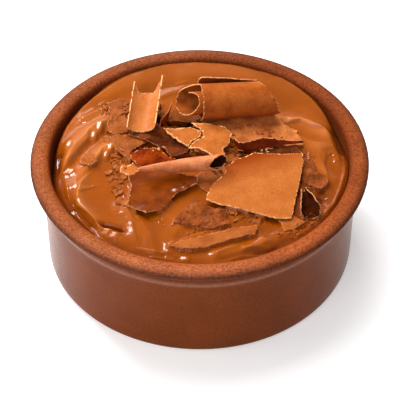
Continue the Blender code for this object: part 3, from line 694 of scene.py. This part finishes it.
def dish_profile():
    """The dish from the middle of its floor, up the inside, over the rim and down to its foot."""
    lip = RIM_RADIUS - RIM_WIDTH
    crown, neck, ridge = DISH_HEIGHT, DISH_HEIGHT - RIM_DEPTH, RIDGE_HEIGHT
    middle, waist, wall = RIM_RADIUS - RIM_WIDTH / 2, WALL_RADIUS - WALL_TAPER, WALL_RADIUS
    # Each curve goes on from where the last one ends: its two pulls, its end and its steps.
    curves = (
        ((lip, crown - 0.4), (middle - 2.4, crown), (middle, crown), 12),
        ((RIM_RADIUS - 1.2, crown), (RIM_RADIUS, crown - 0.8), (RIM_RADIUS, crown - 1.8), 10),
        ((RIM_RADIUS, crown - 2.8), (RIM_RADIUS - 0.7, neck + 0.5), (wall + 1.6, neck), 10),
        ((wall + 0.4, neck - 0.2), (waist, neck - 1.2), (waist, neck - 2.4), 8),
        ((waist, ridge + 1), (wall + 0.5, ridge + 0.6), (wall + 0.5, ridge - 0.3), 6),
        ((wall + 0.5, ridge - 1), (wall, ridge - 1.2), (wall, ridge - 3), 5),
    )
    made = [(0.01, FLOOR_THICKNESS), (FLOOR_RING, FLOOR_THICKNESS)]
    made += arc((INNER_RADIUS - INNER_FILLET, FLOOR_THICKNESS + INNER_FILLET), INNER_FILLET, -90, 0, 8)
    made += [(INNER_RADIUS + KNEE_STEP, KNEE), (lip - 0.5, crown - 6), (lip, crown - BORE_DROP)]
    for pull, other_pull, end, steps in curves:
        made += bezier(made[-1], pull, other_pull, end, steps)
    made += [(stretch(wall, waist, i / 8), stretch(ridge - 3, FOOT_FILLET, i / 8)) for i in range(1, 8)]
    made += arc((waist - FOOT_FILLET, FOOT_FILLET), FOOT_FILLET, 0, -90, 8)
    return made + [(FLOOR_RING, 0), (0.01, 0)]


def make_dish():
    profile = np.array(dish_profile())
    turn = np.arange(DISH_SEGMENTS) * math.tau / DISH_SEGMENTS
    points, faces = [], []
    for radius, height in profile:
        most, broad, fine = WANDER
        wander = 1 + broad * np.sin(2 * turn + 0.05 * height) + fine * np.sin(5 * turn + 1 + 0.1 * height)
        wander = np.minimum(wander, 1 + most)
        points += [(radius * w * math.cos(a), radius * w * math.sin(a), height) for a, w in zip(turn, wander)]
    for row, i in np.ndindex(len(profile) - 1, DISH_SEGMENTS):
        low, high = row * DISH_SEGMENTS, (row + 1) * DISH_SEGMENTS
        j = (i + 1) % DISH_SEGMENTS
        faces.append((low + i, high + i, high + j, low + j))
    dish = new_object("dish_clay", points, faces, [clay_material()])
    return as_piece(dish, "dish")


def bore_radius(height):
    """The dish's inner radius at a height near the pudding's surface."""
    share = np.clip((height - KNEE) / (DISH_HEIGHT - BORE_DROP - KNEE), 0, 1)
    return stretch(INNER_RADIUS + KNEE_STEP, RIM_RADIUS - RIM_WIDTH, share)


def beside(x, y, start, stop):
    """How far points are along a straight line and to the left of it, and the line's length."""
    (x0, y0), (x1, y1) = start, stop
    length = math.hypot(x1 - x0, y1 - y0)
    way_x, way_y = (x1 - x0) / length, (y1 - y0) / length
    return (x - x0) * way_x + (y - y0) * way_y, (y - y0) * way_x - (x - x0) * way_y, length


def ridge_height(x, y, line, bend, half_width, height):
    """The height of one broad ridge, steeper on its right, over arrays of points."""
    along, across, length = beside(x, y, *spots(line))
    along = along / length
    across = across - bend * np.sin(math.pi * np.clip(along, 0, 1))
    width = half_width * np.where(across > 0, 1.5, 0.6)
    ends = np.maximum(0, np.maximum(-along, along - 1)) * length / half_width
    return height * np.exp(-((across / width) ** 2) - ends**2)


def line_distance(x, y, line):
    """How far points are from a line, on which side, how far along it, and the line's length."""
    nearest, side, walked = np.full(x.shape, np.inf), np.zeros(x.shape), np.zeros(x.shape)
    before = 0.0
    for start, stop in zip(line, line[1:]):
        along, across, length = beside(x, y, start, stop)
        inside = np.clip(along, 0, length)
        distance = np.hypot(across, along - inside)
        closer = distance < nearest
        nearest[closer], side[closer] = distance[closer], across[closer]
        walked[closer] = before + inside[closer]
        before += length
    return nearest, side, walked, before


def near_line(x, y, line, half_width):
    """A share that falls from 1 on a line to 0 away from it."""
    return np.exp(-((line_distance(x, y, spots(line))[0] / half_width) ** 4))


def fold_height(x, y, line, left, right, height):
    """The height of one fold, which fades at both ends of its line, over arrays of points."""
    nearest, side, walked, length = line_distance(x, y, spots(line))
    width = np.where(side > 0, left, right)
    taper = np.clip(np.minimum(walked, length - walked) / (0.22 * length) + 0.35, 0, 1)
    return height * taper * np.exp(-((nearest / width) ** 1.4))


def crumble(x, y, where):
    """Sharp crumbs over the points that where picks, from about -0.4 to 0.6."""
    made = np.zeros(x.shape)
    for spot in zip(*np.nonzero(where)):
        a, b = x[spot], y[spot]
        coarse = abs(noise.noise(Vector((0.55 * a, 0.55 * b, 1))))
        fine = noise.noise(Vector((1.3 * a, 1.3 * b, 4)))
        made[spot] = 0.9 * coarse + 0.45 * fine - 0.15
    return made


def waves(x, y):
    """Uneven waves of several sizes over arrays of points, in mm."""
    made = np.zeros(x.shape)
    for spot in np.ndindex(x.shape):
        a, b = x[spot], y[spot]
        made[spot] = sum(size * noise.noise(Vector((a * s, b * s, 3 * s))) for s, size in CREAM_WAVES)
    return made


def glinting(x, y, height, node):
    """The heights of a node's surface with its glints tilted towards the light behind."""
    for middle_x, middle_y, half_x, half_y, slope_x, slope_y in GLINTS.get(node, ()):
        a, b = x - middle_x, y - middle_y
        near = np.exp(-(((a / half_x) ** 2 + (b / half_y) ** 2) ** 2))
        level = (height * near).sum() / near.sum()
        height = height + near * (level + slope_x * a + slope_y * b - height)
    return height


def cream_height(x, y):
    """The height of the pudding's surface in mm over arrays of points."""
    radius, edge = np.hypot(x, y), float(bore_radius(CREAM_LEVEL))
    height = CREAM_LEVEL + CREAM_DOME * (1 - (radius / edge) ** 2)
    near_wall = np.exp(-(((edge - radius) / 4) ** 2))
    height += (1 - near_wall) * sum(ridge_height(x, y, *ridge) for ridge in RIDGES)
    height += sum(fold_height(x, y, *fold) for fold in FOLDS)
    climb = np.clip((radius - edge + BACK_REACH) / BACK_REACH, 0, 1)
    height += BACK_RISE * climb**2 * (3 - 2 * climb) * np.clip(y / edge, 0, 1) ** 0.8
    height += waves(x, y)
    height = glinting(x, y, height, "pudding")
    bearing = np.degrees(np.arctan2(y, x))
    for line, half_width, rise in ROUGH_PLACES:
        near = near_line(x, y, line, half_width)
        height += rise * near * crumble(x, y, near > 0.05)
    for middle, half_width, depth, reach in WALL_HOLLOWS:
        off = (bearing - middle + 180) % 360 - 180
        inwards = (edge - radius) / reach
        height -= depth * np.exp(-((off / half_width) ** 2) - inwards**2)
    for line, half_width, depth in VOIDS:
        height -= depth * near_line(x, y, line, half_width)
    return height


def disc_grid(count):
    """A square grid of points moved onto a disc of radius 1."""
    side = np.linspace(-1, 1, count)
    s, t = np.meshgrid(side, side)
    return s * np.sqrt(1 - t * t / 2), t * np.sqrt(1 - s * s / 2)


def search_tree(objects):
    """A search tree over the meshes of several objects, in metres."""
    points, faces = [], []
    for obj in objects:
        start = len(points)
        points += [obj.matrix_world @ vertex.co for vertex in obj.data.vertices]
        faces += [tuple(start + index for index in face.vertices) for face in obj.data.polygons]
    return BVHTree.FromPolygons(points, faces)


def softened(field, rounds):
    """The field averaged with its neighbours a number of times."""
    for _ in range(rounds):
        field = (field + sum(np.roll(field, step, side) for side in (0, 1) for step in (1, -1))) / 5
    return field


def contact_lift(x, y, height, shavings):
    """How far the pudding rises to touch the shavings over it, and sinks along their front edges, in mm."""
    tree = search_tree(shavings)
    lift = np.zeros(x.shape)
    up = Vector((0, 0, 1))
    for spot in np.ndindex(x.shape):
        start = Vector((x[spot], y[spot], height[spot] - 1)) * MM
        hit = tree.ray_cast(start, up, (1 + CONTACT_REACH) * MM)[0]
        if hit:
            lift[spot] = max(0, hit.z / MM - height[spot] - CONTACT_BITE)
    touched = lift > 0
    moat = np.zeros(x.shape)
    for row in range(1, MOAT_ROWS + 1):
        behind = np.roll(touched, -row, 0) & ~touched
        moat = np.maximum(moat, behind * (1 - (row - 1) / MOAT_ROWS))
    return np.maximum(lift, softened(lift, 5) - MOAT_DEPTH * softened(moat, 1))


def make_cream(shavings):
    x, y = disc_grid(CREAM_GRID)
    edge = float(bore_radius(CREAM_LEVEL)) - GAP
    height = cream_height(x * edge, y * edge)
    height += contact_lift(x * edge, y * edge, height, shavings)
    fitted = np.minimum(edge, bore_radius(height) - GAP)
    scale = edge + (fitted - edge) * np.clip((np.hypot(x, y) - 0.9) / 0.1, 0, 1)
    points = list(map(tuple, np.stack((x * scale, y * scale, height), axis=-1).reshape(-1, 3)))
    faces = grid_faces(CREAM_GRID - 1, CREAM_GRID - 1)
    grid = np.arange(len(points)).reshape(x.shape)
    border = [*grid[0], *grid[1:, -1], *grid[-1, -2::-1], *grid[-2:0:-1, 0]]
    loops = [border]
    for radius, level in CREAM_RINGS:
        loops.append(range(len(points), len(points) + len(border)))
        for index in border:
            px, py, _ = points[index]
            reach = math.hypot(px, py)
            points.append((px / reach * radius, py / reach * radius, level))
    for upper, lower in zip(loops, loops[1:]):
        for i, (high, low) in enumerate(zip(upper, lower)):
            faces.append((upper[(i + 1) % len(border)], high, low, lower[(i + 1) % len(border)]))
    faces.append(tuple(reversed(loops[-1])))
    cream = new_object("pudding_cream", points, faces, [cream_material()])
    return as_piece(cream, "pudding")


def chip(draw, centre, size):
    """The points and faces of one small torn chip round a centre, in mm. Its rim faces come last."""
    count = draw.randint(6, 9)
    turn = draw.uniform(0, math.tau)
    squeeze = draw.uniform(0.4, 0.85)
    bend = draw.uniform(-0.2, 0.35)
    lean = Vector((draw.gauss(0, 0.35), draw.gauss(0, 0.35), 1)).normalized().to_track_quat("Z", "Y")
    spin = Vector((math.cos(turn), math.sin(turn)))
    corners = []
    for i in range(count):
        bearing = math.tau * (i + draw.uniform(-0.3, 0.3)) / count
        reach = size * draw.uniform(0.35, 1.25)
        corners.append((reach * math.cos(bearing), squeeze * reach * math.sin(bearing)))
    points = []
    for side in (-1, 1):
        for a, b in [(0, 0), *corners]:
            rise = bend * a * a / size + side * (0.10 + 0.05 * size)
            local = Vector((a * spin.x - b * spin.y, a * spin.y + b * spin.x, rise))
            points.append(Vector(centre) + lean @ local)
    top = count + 1
    ring = [(i + 1, (i + 1) % count + 1) for i in range(count)]
    flat = [(0, b, a) for a, b in ring] + [(top, top + a, top + b) for a, b in ring]
    return points, flat, [(a, b, top + b, top + a) for a, b in ring]


def make_chips(name, heaps, tone_name, ground, seed):
    """Small broken bits that lie on what is under them, heap by heap."""
    draw = random.Random(seed)
    points, faces, kinds = [], [], []
    for line, spread, count, sizes in heaps:
        line = [(*spot, 0) for spot in spots(line)]
        for _ in range(count):
            spot = eased(line, draw.random())
            spot.x += draw.gauss(0, spread)
            spot.y += draw.gauss(0, spread)
            size = stretch(*sizes, draw.random() ** 2)
            above = Vector((spot.x, spot.y, CHIPS_DROP)) * MM
            hit = ground.ray_cast(above, Vector((0, 0, -1)))[0]
            if not hit or math.hypot(spot.x, spot.y) > CHIPS_REACH:
                continue
            made, sides, rim = chip(draw, (spot.x, spot.y, hit.z / MM + 0.15 + 0.15 * size), size)
            faces += [tuple(len(points) + index for index in face) for face in sides + rim]
            kinds += [0] * len(sides) + [1] * len(rim)
            points += made
    chips = new_object(name, points, faces, tone_materials(tone_name)[:2], smooth=False)
    chips.data.polygons.foreach_set("material_index", kinds)
    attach(chips, "root")


# Shavings

def crag(scale, seed, x, y=0, z=0):
    """Layered noise from about -1 to 1."""
    return noise.fractal(Vector((x * scale + 13.7 * seed, y * scale, z * scale)), 1.0, 2.0, 4)


def torn_outline(flake, seed):
    """The outline in short steps, broken by noise at several sizes."""
    torn = []
    outline = [Vector(spot) for spot in spots(flake.outline)]
    walked = 0
    for start, stop in zip(outline, outline[1:] + outline[:1]):
        length = (stop - start).length
        steps = max(1, round(length / TORN_STEP))
        side = (stop - start).orthogonal().normalized()
        for i in range(steps):
            spot = walked + length * i / steps
            push = TONES[flake.tone].torn * (0.42 * crag(0.35, seed, spot) + 0.30 * crag(1.3, seed, spot, 5))
            torn.append(start.lerp(stop, i / steps) + side * push)
        walked += length
    return torn


def inner_points(outline, seed):
    """Jittered rows of points that fill an outline."""
    draw = random.Random(seed)
    rim_x, rim_y = np.array(outline).T
    step_x, step_y = np.roll(rim_x, -1) - rim_x, np.roll(rim_y, -1) - rim_y
    points = []
    for index, y in enumerate(np.arange(rim_y.min(), rim_y.max(), 0.87 * INNER_STEP)):
        for x in np.arange(rim_x.min(), rim_x.max(), INNER_STEP) + (index % 2) * INNER_STEP / 2:
            px, py = x + draw.uniform(-JITTER, JITTER), y + draw.uniform(-JITTER, JITTER)
            cut = (rim_y > py) != (np.roll(rim_y, -1) > py)
            crossings = rim_x[cut] + (py - rim_y[cut]) * step_x[cut] / step_y[cut]
            inside = np.count_nonzero(px < crossings) % 2
            if inside and np.hypot(rim_x - px, rim_y - py).min() > 0.55 * INNER_STEP:
                points.append(Vector((px, py)))
    return points


def flake_height(flake, x, y, seed):
    """How high a flake lies over a point, counted from its centre, in mm; the solids' rule."""
    x, y = x - flake.centre[0], y - flake.centre[1]
    height = flake.slope[0] * x + flake.slope[1] * y
    for bearing, start, rate in flake.bends:
        a, b = towards(bearing)
        height += rate * max(0, x * a + y * b - start) ** 2
    return height + flake.ripple * math.sin(0.55 * x + seed) * math.cos(0.5 * y + 2 * seed)


def settled(points, node):
    """The points moved up or down so that they lie where the node does."""
    low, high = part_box(node)
    heights = points[:, 2]
    points[:, 2] += (low.z + high.z) / MM / 2 - (heights.min() + heights.max()) / 2
    return points


def roughened(points, rough, seed):
    """The points with an uneven surface of their own."""
    for point in points:
        x, y, z = (float(value) for value in point)
        point[2] += rough * (0.55 * crag(0.32, seed, x, y, z) - 0.55 * abs(crag(0.9, seed + 3, x, y, z)))
    return points


def finish_sheet(points, faces, shaving, worn):
    """A shaving's sheet with its thickness and its place in the frame. Worn faces show the broken edge's
    material. A roll's piece has its node's name, with the .001 that Blender adds."""
    node = shaving.node
    tone = TONES[shaving.tone]
    face, edge, back = tone_materials(shaving.tone)
    sheet = new_object(node.replace("flake_", "shaving_"), points, faces, [face, edge, edge, back, edge])
    sheet.data.polygons.foreach_set("material_index", [int(value) for value in worn])
    solidify = sheet.modifiers.new("thickness", "SOLIDIFY")
    solidify.thickness = tone.sheet * MM
    solidify.offset = 0
    solidify.material_offset_rim = 1
    solidify.material_offset = 3
    solid = bpy.data.meshes.new_from_object(sheet.evaluated_get(bpy.context.evaluated_depsgraph_get()))
    sheet.modifiers.clear()
    sheet.data = solid
    return as_piece(sheet, node)


def split_faces(points, faces):
    """Each triangle cut into four."""
    points = [tuple(point) for point in points]
    middles = {}

    def middle(a, b):
        key = (min(a, b), max(a, b))
        if key not in middles:
            middles[key] = len(points)
            points.append(tuple((points[a][k] + points[b][k]) / 2 for k in range(2)))
        return middles[key]

    cut = []
    for a, b, c in faces:
        ab, bc, ca = middle(a, b), middle(b, c), middle(c, a)
        cut += [(a, ab, ca), (ab, b, bc), (ca, bc, c), (ab, bc, ca)]
    return points, cut


def make_flake(flake, seed):
    outline = torn_outline(flake, seed)
    spread = outline + inner_points(outline, seed)
    flat, _, faces, *_ = delaunay_2d_cdt(spread, [], [range(len(outline))], 1, 0.0001)
    flat, faces = split_faces(flat, faces)
    points = np.array([(x, y, flake_height(flake, x, y, seed)) for x, y in flat])
    points = roughened(settled(points, flake.node), flake.rough, seed)
    points[:, 2] = glinting(points[:, 0], points[:, 1], points[:, 2], flake.node)
    middles = np.array(flat)[np.array(faces)].mean(axis=1)
    depths = line_distance(*middles.T, outline + outline[:1])[0]
    band = TONES[flake.tone].band
    worn = [d < band * (1 + 2.2 * crag(0.7, seed, *m)) for d, m in zip(depths, middles)]
    return finish_sheet(points, faces, flake, worn)


def worn_border(columns, rows, ends, seed):
    """Which faces of a grid look broken: most of those at both ends, or most of the last row."""
    return [
        (column in (0, columns - 1) if ends else row == rows - 1)
        and crag(1, seed, 0.3 * row, 0.3 * column) > 0.05
        for row, column in np.ndindex(rows, columns)
    ]


def grid_faces(columns, rows):
    corners = [row * (columns + 1) + column for row, column in np.ndindex(rows, columns)]
    return [(c, c + 1, c + columns + 2, c + columns + 1) for c in corners]


def eased(points, t):
    """A smooth line through the given points, at a share t of it."""
    spot = t * (len(points) - 1)
    step = min(int(spot), len(points) - 2)
    ends = [Vector(points[min(max(step + k, 0), len(points) - 1)]) for k in (-1, 0, 1, 2)]
    t = spot - step
    slopes = (ends[2] - ends[0]) / 2, (ends[3] - ends[1]) / 2
    return ((2 * t**3 - 3 * t**2 + 1) * ends[1] + (t**3 - 2 * t**2 + t) * slopes[0]
            + (3 * t**2 - 2 * t**3) * ends[2] + (t**3 - t**2) * slopes[1])


def make_strip(strip, seed):
    columns, rows = strip.grid
    points = []
    for row, column in np.ndindex(rows + 1, columns + 1):
        u, v = column / columns, row / rows
        point = eased(strip.low, u).lerp(eased(strip.high, u), v)
        point.y += strip.ripple * math.sin(9 * u + seed)
        point.z += 0.35 * crag(0.3, seed, 40 * u) * v
        points.append(tuple(point))
    points = roughened(settled(np.array(points), strip.node), strip.rough, seed)
    worn = worn_border(columns, rows, False, seed)
    return finish_sheet(points, grid_faces(columns, rows), strip, worn)


def curl_ends(curl, share, bearing, length):
    """Where a roll's sheet starts and stops along the axis at one place on the way round."""
    reach = [c * math.cos(bearing - math.radians(most)) for c, most in curl.cuts[:2]]
    reach[1] += sum(curl.cuts[2:]) * min(max((abs(math.cos(bearing)) - 0.55) / 0.25, 0), 1)
    low = -reach[0]
    if curl.tail:
        start, stop, out, askew = curl.tail
        t = min(max((share - start) / (stop - start), 0), 1)
        tail = -out + askew * math.cos(bearing - math.radians(curl.cuts[0][1]))
        low = stretch(low, tail, t * t * (3 - 2 * t))
    return low, length + reach[1]


def make_curl(curl, seed):
    columns, rows = curl.grid
    start, stop = (Vector(end) for end in curl.ends)
    length = (stop - start).length
    axis = (stop - start).normalized()
    right = axis.cross(Vector((0, 0, 1))).normalized()
    up = right.cross(axis)
    turns = abs(curl.bearings[1] - curl.bearings[0]) / 360
    points = []
    for row in range(rows + 1):
        v = row / rows
        bearing = math.radians(stretch(*curl.bearings, v))
        low, high = curl_ends(curl, v, bearing, length)
        spot = v * turns
        low += 0.35 * crag(0.5, seed, 19 * spot) + 0.2 * crag(1, seed, 45 * spot, 9)
        high += 0.8 * crag(0.5, seed, 19 * spot, 3) + 0.5 * crag(1, seed, 45 * spot, 7)
        lip = max(0, 1 - v / LIP_SHARE) if curl.tail else 0
        low += LIP_TORN * lip**3
        for column in range(columns + 1):
            u = column / columns
            torn = math.radians(5) * crag(0.4, seed, 30 * u, 5) if row in (0, rows) else 0
            outward = right * math.cos(bearing + torn) + up * math.sin(bearing + torn)
            along = stretch(low, high, u)
            radius = stretch(*curl.radii, u) + curl.belly * math.sin(math.pi * u)
            radius += LIP_FLARE * lip**2 * max(0, u - 0.5) / 0.5 - curl.shrink[0] * v ** curl.shrink[1]
            radius += LIP_LIFT * lip**2 * max(0, 1 - u / LIP_LIFT_SHARE)
            radius += curl.rough * (crag(0.25, seed, along, 9 * v) + 0.3 * crag(1.2, seed, along, 30 * v))
            points.append(tuple(start + axis * along + outward * radius))
    points = settled(np.array(points), curl.node)
    worn = worn_border(columns, rows, True, seed)
    return finish_sheet(points, grid_faces(columns, rows), curl, worn)


def make_shavings():
    """Every shaving, the low flakes first, each with a seed of its own."""
    kinds = (LOW_FLAKES, make_flake), (STRIPS, make_strip), (CURLS, make_curl), (HIGH_FLAKES, make_flake)
    row = [(make, shaving) for shavings, make in kinds for shaving in shavings]
    return [make(shaving, seed) for seed, (make, shaving) in enumerate(row, FIRST_SEED)]


# Floor, light and camera

def make_floor():
    side = np.linspace(-FLOOR_SIDE, FLOOR_SIDE, FLOOR_CELLS + 1)
    points = [(x, y, 0) for y in side for x in side]
    floor = new_object("floor", points, grid_faces(FLOOR_CELLS, FLOOR_CELLS), [floor_material()])


def make_studio():
    """A soft sky that is bright near the horizon, and the lights."""
    look = Look("studio", world=True)
    sky = {"Color": look.ramp(look.place("Z"), SKY), "Strength": SKY_STRENGTH}
    bpy.context.scene.world = look.finished(sky, "Background")
    for name, place, aim, width, length, power in LIGHTS:
        light = bpy.data.lights.new(name, "AREA")
        light.shape = "RECTANGLE"
        light.size, light.size_y, light.energy = width, length, power
        lamp = placed(name, light)
        lamp.visible_glossy = name != NOT_REFLECTED
        lamp.location = place
        lamp.rotation_euler = (Vector((0, 0, aim)) - Vector(place)).to_track_quat("-Z", "Y").to_euler()
    bpy.context.scene.view_settings.view_transform = "Standard"
    bpy.context.scene.view_settings.look = "None"


def make_camera():
    camera = bpy.data.cameras.new("camera")
    camera.sensor_width = SENSOR_WIDTH
    camera.sensor_fit = "HORIZONTAL"
    camera.lens = FOCAL_PIXELS / FRAME_PIXELS * SENSOR_WIDTH
    camera.shift_x = (FRAME_PIXELS / 2 - AIM_PIXEL[0]) / FRAME_PIXELS
    camera.shift_y = (AIM_PIXEL[1] - FRAME_PIXELS / 2) / FRAME_PIXELS
    camera.clip_start = 0.01
    holder = placed("camera", camera)
    tilt = math.radians(ELEVATION)
    holder.location = (0, -DISTANCE * math.cos(tilt), AIM_HEIGHT + DISTANCE * math.sin(tilt))
    holder.rotation_euler = (math.radians(90 - ELEVATION), 0, 0)
    bpy.context.scene.camera = holder


make_dish()
shavings = make_shavings()
cream = make_cream(shavings)
ground = search_tree([cream, *shavings[: len(LOW_FLAKES)]])
make_chips("chips_pale", PALE_CHIPS, "strip", ground, seed=31)
# Near-black chips in the gaps: painted shade.
make_chips("chips_dark", SHADE_CHIPS, "dark", ground, seed=47)
make_chips("chips_light", LIGHT_CHIPS, "crumb", ground, seed=59)
make_floor()
make_studio()
make_camera()
